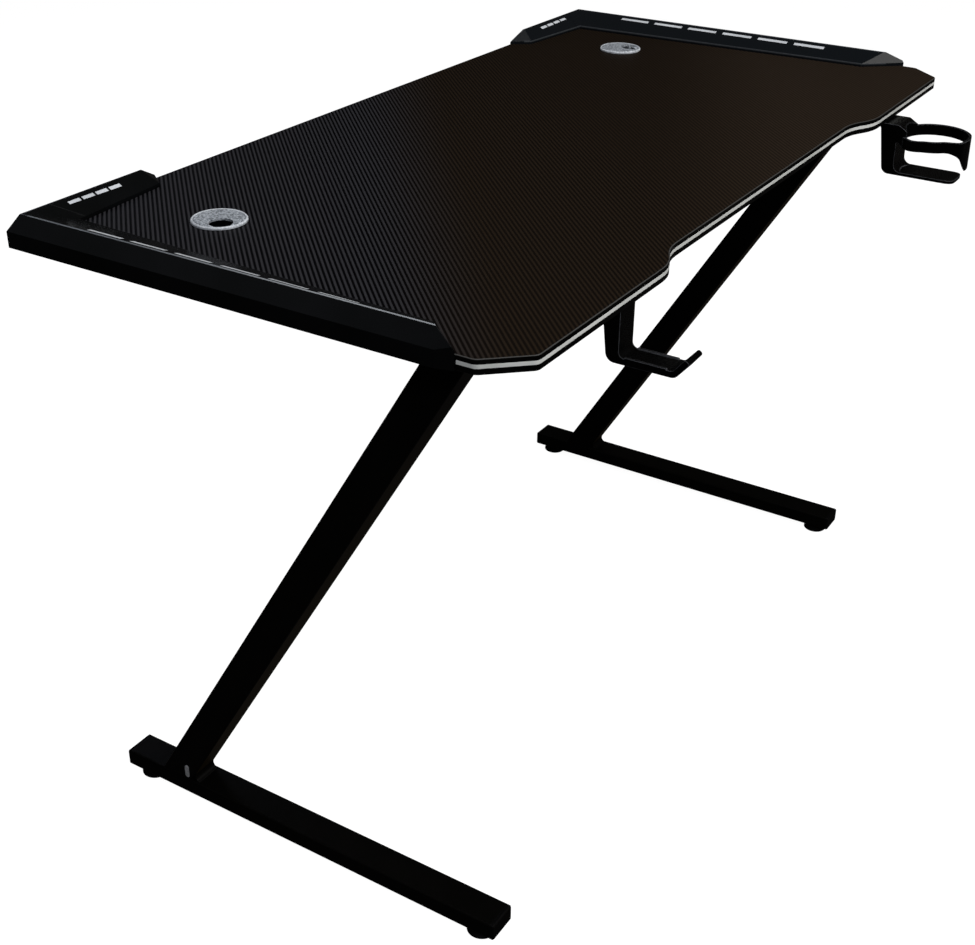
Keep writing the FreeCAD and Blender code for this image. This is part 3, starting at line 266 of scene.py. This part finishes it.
def barCover():
    look = barLook
    material, tree, shader, place, colour = mouldedPlastic("barGlossAbs", look)
    # painted light: the bars grow a little paler towards the right
    paintedLightRight = drift(tree, place, look["paintedLightAlong"], *look["paintedLightSpan"])
    ground = addNode(tree, "ShaderNodeMix", {"data_type": "RGBA"}, {"B": hexLinear(look["paintedLight"])},
                     {"Factor": (paintedLightRight, "Result"), "A": (colour, "Color")})
    axes = addNode(tree, "ShaderNodeSeparateXYZ", links={"Vector": (place, "Object")})
    soft = look["lipSoft"]
    backLimit = barBack - look["backWide"]
    inFront = addNode(tree, "ShaderNodeMapRange",
                      values={"From Min": backLimit - soft, "From Max": backLimit + soft,
                              "To Min": 1.0, "To Max": 0.0},
                      links={"Value": (axes, "Y")})
    atRight = between(tree, (axes, "X"), 0.0, barFar - look["outerWide"], soft)  # from the desk's middle on
    # painted highlight on the right bars' low inner lip, kept off their outer side and back edge
    lipHeight = between(tree, (axes, "Z"), boardTop + look["lipLow"], boardTop + look["lipHigh"], soft)
    inside = addNode(tree, "ShaderNodeMath", {"operation": "MULTIPLY"},
                     links={0: (atRight, "Value"), 1: (inFront, "Result")})
    lipShare = addNode(tree, "ShaderNodeMath", {"operation": "MULTIPLY"},
                       links={0: (lipHeight, "Value"), 1: (inside, "Value")})
    withLipHighlight = addNode(tree, "ShaderNodeMix", {"data_type": "RGBA"}, {"B": hexLinear(look["lip"])},
                      {"Factor": (lipShare, "Value"), "A": (ground, "Result")})
    # painted highlight along the ridge's flat top, brighter towards the left bar's front
    ridgeFlat = barTop - look["ridgeDeep"]
    onRidge = addNode(tree, "ShaderNodeMapRange",
                      values={"From Min": ridgeFlat - look["ridgeSoft"],
                              "From Max": ridgeFlat + look["ridgeSoft"]},
                      links={"Value": (axes, "Z")})
    ridgeShare = addNode(tree, "ShaderNodeMath", {"operation": "MULTIPLY"},
                         links={0: (onRidge, "Result"), 1: (inFront, "Result")})
    highlightTowardsFront = drift(tree, place, look["frontAlong"], *look["frontSpan"])  # reached by the left bar alone
    paintedHighlight = addNode(tree, "ShaderNodeMix", {"data_type": "RGBA"},
                     {"A": hexLinear(look["ridge"]), "B": hexLinear(look["ridgeFront"])},
                     {"Factor": (highlightTowardsFront, "Result")})
    tint = addNode(tree, "ShaderNodeMix", {"data_type": "RGBA"},
                   links={"Factor": (ridgeShare, "Value"), "A": (withLipHighlight, "Result"), "B": (paintedHighlight, "Result")})
    tree.links.new(tint.outputs["Result"], shader.inputs["Base Color"])
    return material


# Windows: milky acrylic, faintly cool; along the right side bar the lower 2 mm of each lens is masked black
windowLook = dict(dark="#b9bdc2", light="#c9cdd2", roughness=0.3, grainMm=3.0, cloudMm=40.0, bump=0.00001,
                  specular=0.2, mask="#07080a", maskSoft=0.0002,
                  maskRoom=0.001, maskWide=0.0051)  # reach to both sides of the strip's inner edge


def windowStrip():
    look = windowLook
    material, tree, shader, place, colour = mouldedPlastic("windowMilkyPmma", look)
    axes = addNode(tree, "ShaderNodeSeparateXYZ", links={"Vector": (place, "Object")})
    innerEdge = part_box("side_diffuser_right")[0].x
    masked = between(tree, (axes, "X"), innerEdge - look["maskRoom"], innerEdge + look["maskWide"],
                     look["maskSoft"])
    tint = addNode(tree, "ShaderNodeMix", {"data_type": "RGBA"}, {"B": hexLinear(look["mask"])},
                   {"Factor": (masked, "Value"), "A": (colour, "Color")})
    tree.links.new(tint.outputs["Result"], shader.inputs["Base Color"])
    return material


# Edge band: black ABS strip; a band along its upper arris is painted pale grey, which shows as a line round the
# film
edgeLook = dict(dark="#020202", light="#070707", roughness=0.34, grainMm=1.2, cloudMm=80.0, bump=0.00003,
                specular=0.1, arris="#3e3e3d", arrisStart=0.00055, arrisFull=0.00035)  # depths below the top


def edgeBand():
    look = edgeLook
    material, tree, shader, place, colour = mouldedPlastic("edgeBlackAbs", look)
    axes = addNode(tree, "ShaderNodeSeparateXYZ", links={"Vector": (place, "Object")})
    onArris = addNode(tree, "ShaderNodeMapRange",
                      values={"From Min": boardTop - look["arrisStart"],
                              "From Max": boardTop - look["arrisFull"]},
                      links={"Value": (axes, "Z")})
    tint = addNode(tree, "ShaderNodeMix", {"data_type": "RGBA"}, {"B": hexLinear(look["arris"])},
                   {"Factor": (onArris, "Result"), "A": (colour, "Color")})
    tree.links.new(tint.outputs["Result"], shader.inputs["Base Color"])
    return material


# Grommet ring: moulded ABS with a pale, mottled flange, painted lighter than the caps, partly its own tone and
# partly painted highlight; the sleeve is painted dark navy below the desktop, partly its own colour and partly
# painted shade in the hole
ringLook = dict(dark="#a2a7ad", light="#c9ced4", roughness=0.4, grainMm=0.8, cloudMm=2.4, bump=0.00003,
                specular=0.2, edgeMm=0.8, sleeveAndShade="#0b101c", sleeveEnd=0.0008, flangeStart=0.0002)  # below top


def grommetRing():
    look = ringLook
    material, tree, shader, place, colour = mouldedPlastic("ringGreyAbs", look)
    axes = addNode(tree, "ShaderNodeSeparateXYZ", links={"Vector": (place, "Object")})
    onFlange = addNode(tree, "ShaderNodeMapRange",
                       values={"From Min": boardTop - look["sleeveEnd"],
                               "From Max": boardTop - look["flangeStart"]},
                       links={"Value": (axes, "Z")})
    # painted dark navy below the desktop, partly the sleeve's own colour and partly painted shade in the hole
    tint = addNode(tree, "ShaderNodeMix", {"data_type": "RGBA"}, {"A": hexLinear(look["sleeveAndShade"])},
                   {"Factor": (onFlange, "Result"), "B": (colour, "Color")})
    tree.links.new(tint.outputs["Result"], shader.inputs["Base Color"])
    return material


# Powder-coated steel tube: near black, fine orange-peel, and a slight warm sheen where it is seen edge-on
coatLook = dict(dark="#030302", light="#070605", darkAt=0.3, lightAt=0.7, cloudMm=90.0, peelMm=1.6,
                detail=2.0, sheen="#302818", sheenStart=0.78, sheenFull=0.88, grazingBlend=0.5,
                ior=1.5, specular=0.06, roughness=0.4, smoother=0.04, rougher=0.1,
                bump=0.00006, peelStrength=0.5, edgeMm=1.0)


def powderCoat():
    look = coatLook
    material, tree, shader, place = startMaterial(
        "powderCoatBlack", {"IOR": look["ior"], "Specular IOR Level": look["specular"]})
    peel, cloud = [addNode(tree, "ShaderNodeTexNoise",
                           values={"Scale": perMetre(look[size]), "Detail": look["detail"]},
                           links={"Vector": (place, "Object")})
                   for size in ("peelMm", "cloudMm")]
    colour = rampColours(addNode(tree, "ShaderNodeValToRGB", links={"Fac": (cloud, "Fac")}),
                         [(look["darkAt"], look["dark"]), (look["lightAt"], look["light"])])
    grazing = addNode(tree, "ShaderNodeLayerWeight", values={"Blend": look["grazingBlend"]})
    edgeOn = addNode(tree, "ShaderNodeMapRange",
                     values={"From Min": look["sheenStart"], "From Max": look["sheenFull"]},
                     links={"Value": (grazing, "Facing")})
    tint = addNode(tree, "ShaderNodeMix", {"data_type": "RGBA"}, {"B": hexLinear(look["sheen"])},
                   {"Factor": (edgeOn, "Result"), "A": (colour, "Color")})
    tree.links.new(tint.outputs["Result"], shader.inputs["Base Color"])
    rough = addNode(tree, "ShaderNodeMapRange",
                    values={"To Min": look["roughness"] - look["smoother"],
                            "To Max": look["roughness"] + look["rougher"]},
                    links={"Value": (peel, "Fac")})
    tree.links.new(rough.outputs["Result"], shader.inputs["Roughness"])
    softEdges(tree, shader, (peel, "Fac"), look["bump"], look["peelStrength"], look["edgeMm"])
    return material


# Bright zinc-plated steel: pale grey metal with fine mottling
zincLook = dict(dark="#8f9294", light="#c3c5c4", darkAt=0.3, lightAt=0.7, mottleMm=1.4, mottleDetail=4.0,
                roughness=0.34, smoother=0.06, rougher=0.1)


def zincPlate():
    look = zincLook
    material, tree, shader, place = startMaterial("zincPlatedSteel", {"Metallic": 1.0})
    mottle = addNode(tree, "ShaderNodeTexNoise",
                     values={"Scale": perMetre(look["mottleMm"]), "Detail": look["mottleDetail"]},
                     links={"Vector": (place, "Object")})
    colour = rampColours(addNode(tree, "ShaderNodeValToRGB", links={"Fac": (mottle, "Fac")}),
                         [(look["darkAt"], look["dark"]), (look["lightAt"], look["light"])])
    tree.links.new(colour.outputs["Color"], shader.inputs["Base Color"])
    rough = addNode(tree, "ShaderNodeMapRange",
                    values={"To Min": look["roughness"] - look["smoother"],
                            "To Max": look["roughness"] + look["rougher"]},
                    links={"Value": (mottle, "Fac")})
    tree.links.new(rough.outputs["Result"], shader.inputs["Roughness"])
    return material


finishes = {name: mouldedPlastic(name, look)[0] for name, look in plasticLooks.items()}
for makeFinish in (barCover, edgeBand, windowStrip, grommetRing, carbonFilm, powderCoat, zincPlate):
    material = makeFinish()
    finishes[material.name] = material

# Which finish each kind of solid has, first match first; what no other line names is a plated fastener
nodeFinish = [
    ("desktop_board", "carbonPvcFilm"), ("edge_band", "edgeBlackAbs"), ("edge_stripe", "stripeGreyPvc"),
    ("bar_cover", "barGlossAbs"), ("diffuser", "windowMilkyPmma"), ("bar_base", "innerBlackAbs"),
    ("led_strip", "lightStripFr4"), ("gland", "glandRubber"),
    ("grommet_ring", "ringGreyAbs"), ("grommet_cap", "capGreyAbs"), ("_cap_", "capBlackPe"),
    ("arm", "powderCoatBlack"), ("leg", "powderCoatBlack"), ("foot", "powderCoatBlack"),
    ("drain_plug", "plugZincGlint"), ("beam_bolts", "zincPlatedSteel"), ("beam", "powderCoatBlack"),
    ("headphone_hook", "bracketBlackAbs"), ("cup_holder", "bracketBlackAbs"), ("leveller_pad", "padBlackPa"),
    ("", "zincPlatedSteel"),
]
for name, node in nodes.items():
    finish = next(finish for part, finish in nodeFinish if part in name)
    node.data.materials.clear()
    node.data.materials.append(finishes[finish])
print("finishes set:", len(finishes))

# Cup holder: the solid's faces, but ring and tongue are squarer and the ring's near root is lower
cupLook = dict(ringRadius=0.044, ringOut=0.048,
               ringLow=0.011, ringHigh=0.0585, clawHigh=0.0434, tongueHigh=0.0055,  # above the lowest point
               reachDeg=(60, 100, 200, 215, 226, 233, 240, 250, 279, 315, 345, 370),
               reach=(1.0, 1.0, 1.0, 1.0, 1.05, 1.12, 1.1, 1.03, 0.975, 0.97, 0.985, 0.99), clawShare=0.3,
               liftDeg=(95, 121, 145, 160, 172, 196, 208, 225),
               lift=(0.0, -0.006, -0.005, -0.0033, -0.0016, -0.0002, 0.0006, 0.0),
               tongueRadius=0.032, tonguePower=4.5,
               back=0.002, backStart=0.009, backFull=0.003,  # the start and end lie behind the front edge
               mergeDigits=6, creaseDeg=32.0)


def squared(points, centre, power, chosen):
    # in front of the centre a circle becomes a superellipse: the radius is divided by the root of the summed
    # powers of cosine and sine
    away = points[:, :2] - centre
    angle = np.arctan2(away[:, 1], away[:, 0])
    grow = (np.abs(np.cos(angle)) ** power + np.abs(np.sin(angle)) ** power) ** (-1.0 / power)
    chosen = chosen & (away[:, 1] < 0.0)
    points[chosen, :2] = centre + away[chosen] * grow[chosen, None]


def cupHolder():
    # ring: radius times a reach and height plus a lift, both by angle; all before the edge a little set back
    look = cupLook
    source = nodes["cup_holder"].data
    corners = np.empty(len(source.vertices) * 3)
    source.vertices.foreach_get("co", corners)
    source.calc_loop_triangles()
    triangles = np.empty(len(source.loop_triangles) * 3, np.int32)
    source.loop_triangles.foreach_get("vertices", triangles)
    corners = corners.reshape(-1, 3).round(look["mergeDigits"])
    points, same = np.unique(corners, axis=0, return_inverse=True)  # loose corners merged
    faces = same.reshape(-1)[triangles].reshape(-1, 3)
    low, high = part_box("cup_holder")
    above = points[:, 2] - low.z
    ringCentre = np.array([high.x - look["ringRadius"], low.y + look["ringRadius"]])
    tongueCentre = np.array([ringCentre[0], low.y + look["tongueRadius"]])
    away = points[:, :2] - ringCentre
    angle = np.degrees(np.arctan2(away[:, 1], away[:, 0])) % 360.0
    ring = np.hypot(away[:, 0], away[:, 1]) < look["ringOut"]
    ring &= (above > look["ringLow"]) & (above < look["ringHigh"])
    reach = np.interp(angle, look["reachDeg"], look["reach"], period=360.0)
    clawReach = 1.0 + (reach - 1.0) * look["clawShare"]  # the claw under the ring stays full
    reach = np.where(above < look["clawHigh"], clawReach, reach)
    lift = np.interp(angle, look["liftDeg"], look["lift"])
    squared(points, tongueCentre, look["tonguePower"], above < look["tongueHigh"])
    points[ring, :2] = ringCentre + away[ring] * reach[ring, None]
    points[ring, 2] += lift[ring]
    behind = points[:, 1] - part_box("edge_band")[0].y
    points[:, 1] += look["back"] * np.interp(behind, (look["backFull"], look["backStart"]), (1.0, 0.0))
    mesh = bpy.data.meshes.new("cupHolder")
    mesh.from_pydata(points.tolist(), [], faces.tolist())
    mesh.polygons.foreach_set("use_smooth", np.ones(len(faces), bool))
    mesh.set_sharp_from_angle(angle=math.radians(look["creaseDeg"]))
    mesh.materials.append(finishes["bracketBlackAbs"])
    piece = bpy.data.objects.new("cupHolder", mesh)
    bpy.context.scene.collection.objects.link(piece)
    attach(piece, "desk")
    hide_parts("cup_holder")
    print("cup holder:", len(faces), "triangles")


cupHolder()

# Snap tongue of each grommet sleeve: the back part of the sleeve runs on below the board and hooks under it
tongueLook = dict(middleDeg={"left": 45.0, "right": 135.0}, spanDeg=110.0, steps=33,
                  inner=0.023, outer=0.0248, barb=0.0262,  # radii
                  top=0.0012, step=-0.0004, tip=-0.0012, bottom=-0.0088)  # above the board's underside
turnAxis = {joint["name"]: joint["pos_m"] for joint in frame["joints"] if "pos_m" in joint}


def snapTongue(end):
    # a closed profile of wall and barb (radius, height) swept about the grommet's axis, with closed ends
    look = tongueLook
    radius = np.array([look[name] for name in ("inner", "outer", "outer", "barb", "outer", "inner")])
    height = boardLow + np.array([look[name] for name in ("top", "top", "step", "tip", "bottom", "bottom")])
    angle = np.radians(look["middleDeg"][end] + np.linspace(-0.5, 0.5, look["steps"]) * look["spanDeg"])
    x, y = turnAxis["cap_turn_" + end][:2]
    points = np.stack([x + np.outer(np.cos(angle), radius), y + np.outer(np.sin(angle), radius),
                       np.tile(height, (len(angle), 1))], -1)
    rows, cols = points.shape[:2]
    i, j = np.meshgrid(np.arange(rows - 1), np.arange(cols), indexing="ij")
    after = (j + 1) % cols
    faces = np.stack([i * cols + j, i * cols + after, (i + 1) * cols + after, (i + 1) * cols + j], -1)
    ends = [list(range(cols))[::-1], list(range((rows - 1) * cols, rows * cols))]
    mesh = bpy.data.meshes.new("snapTongue_" + end)
    mesh.from_pydata(points.reshape(-1, 3).tolist(), [], faces.reshape(-1, 4).tolist() + ends)
    # below the desktop the ring finish paints it dark navy, partly painted shade seen through the grommet's
    # notch
    mesh.materials.append(finishes["ringGreyAbs"])
    piece = bpy.data.objects.new("snapTongue_" + end, mesh)
    bpy.context.scene.collection.objects.link(piece)
    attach(piece, "desk")


for end in ("left", "right"):
    snapTongue(end)
print("snap tongues made")

# Camera at the photograph's place, worked out for a 975 x 945 picture; metres, row frame
cameraLook = dict(place=(-1.539805, -0.803235, 1.275085), turnDeg=(61.02168, -0.52833, -57.84872),
                  lens=54.08005, sensor=36.0, shift=(0.0030356, -0.0139393), clipEnd=100.0)
cameraData = bpy.data.cameras.new("deskCamera")
cameraData.sensor_width = cameraLook["sensor"]
cameraData.lens = cameraLook["lens"]
cameraData.shift_x, cameraData.shift_y = cameraLook["shift"]
cameraData.clip_end = cameraLook["clipEnd"]
camera = bpy.data.objects.new("deskCamera", cameraData)
turn = Euler([math.radians(angle) for angle in cameraLook["turnDeg"]]).to_matrix()
camera.matrix_world = Matrix.Translation(cameraLook["place"]) @ turn.to_4x4()
bpy.context.scene.collection.objects.link(camera)
bpy.context.scene.camera = camera

# Pale paper sweep: a floor that curves up into a wall all round; only seen directly, so black gets no haze
sweepLook = dict(floorRings=(0.01, 2.0, 5.0), floorRadius=9.0, bend=4.0, bendSteps=13, wall=9.0, turns=64,
                 colour="#ffffff", glow=0.975, paper="#808080", roughness=0.9)


def studioSweep():
    # a profile of floor, quarter bend and wall (radius, height), turned about the upright axis
    look = sweepLook
    arc = np.linspace(0.0, math.pi / 2.0, look["bendSteps"])
    radius = np.concatenate((look["floorRings"], look["floorRadius"] + look["bend"] * np.sin(arc),
                             [look["floorRadius"] + look["bend"]]))
    height = np.concatenate((np.zeros(len(look["floorRings"])), look["bend"] * (1.0 - np.cos(arc)),
                             [look["bend"] + look["wall"]]))
    angle = np.linspace(0.0, 2.0 * math.pi, look["turns"], endpoint=False)
    points = np.stack([np.outer(np.cos(angle), radius), np.outer(np.sin(angle), radius),
                       np.tile(height, (look["turns"], 1))], -1)
    rows, cols = points.shape[:2]
    i, j = np.meshgrid(np.arange(rows), np.arange(cols - 1), indexing="ij")
    after = (i + 1) % rows
    faces = np.stack([i * cols + j, i * cols + j + 1, after * cols + j + 1, after * cols + j], -1)
    middle = list(range(0, rows * cols, cols))  # closes the small hole at the axis
    mesh = bpy.data.meshes.new("studioSweep")
    mesh.from_pydata(points.reshape(-1, 3).tolist(), [], faces.reshape(-1, 4).tolist() + [middle])
    sweep = bpy.data.objects.new("studioSweep", mesh)
    bpy.context.scene.collection.objects.link(sweep)
    paint = startMaterial("studioPaper", {
        "Base Color": hexLinear(look["paper"]), "Roughness": look["roughness"], "Specular IOR Level": 0.0,
        "Emission Color": hexLinear(look["colour"]), "Emission Strength": look["glow"]})[0]
    mesh.materials.append(paint)
    sweep.visible_diffuse = False
    sweep.visible_glossy = False
    sweep.visible_shadow = False


studioSweep()

# Soft studio light: front key, wide top panel, a fill beside the camera, weak lights from back and left
lightLooks = {
    "frontKey": dict(place=(0.1, -2.1, 2.8), aim=(0.0, 0.0, 0.7), size=(1.8, 1.2),
                     watts=62.0, colour="#fffdfa"),
    "topPanel": dict(place=(-0.2, 0.0, 3.2), aim=(0.0, 0.05, 0.7), size=(1.6, 1.4),
                     watts=28.0, colour="#ffffff"),
    "nearFill": dict(place=(-2.2, -1.3, 2.3), aim=(-0.2, 0.0, 0.7), size=(1.0, 0.8),
                     watts=24.0, colour="#f6f8ff"),
    "backRim": dict(place=(1.2, 3.2, 2.6), aim=(0.0, 0.1, 0.75), size=(1.6, 0.6),
                    watts=8.0, colour="#e6ecff"),
    "leftFill": dict(place=(-1.9, 2.1, 2.9), aim=(-0.3, 0.0, 0.6), size=(1.2, 1.2),
                     watts=1.4, colour="#eef2ff"),
}
roomLook = dict(colour="#2f2d2c", strength=1.0)  # dim, even light from all round
for name, look in lightLooks.items():
    data = bpy.data.lights.new(name, "AREA")
    data.shape = "RECTANGLE"
    data.size, data.size_y = look["size"]
    data.energy = look["watts"]
    data.color = hexLinear(look["colour"])[:3]
    lamp = bpy.data.objects.new(name, data)
    lamp.location = look["place"]
    lamp.rotation_euler = (Vector(look["aim"]) - Vector(look["place"])).to_track_quat("-Z", "Y").to_euler()
    bpy.context.scene.collection.objects.link(lamp)
world = bpy.data.worlds.new("studioRoom")
world.use_nodes = True
background = world.node_tree.nodes["Background"]
background.inputs["Color"].default_value = hexLinear(roomLook["colour"])
background.inputs["Strength"].default_value = roomLook["strength"]
bpy.context.scene.world = world
bpy.context.scene.view_settings.view_transform = "Standard"
print("camera, sweep and lights set")
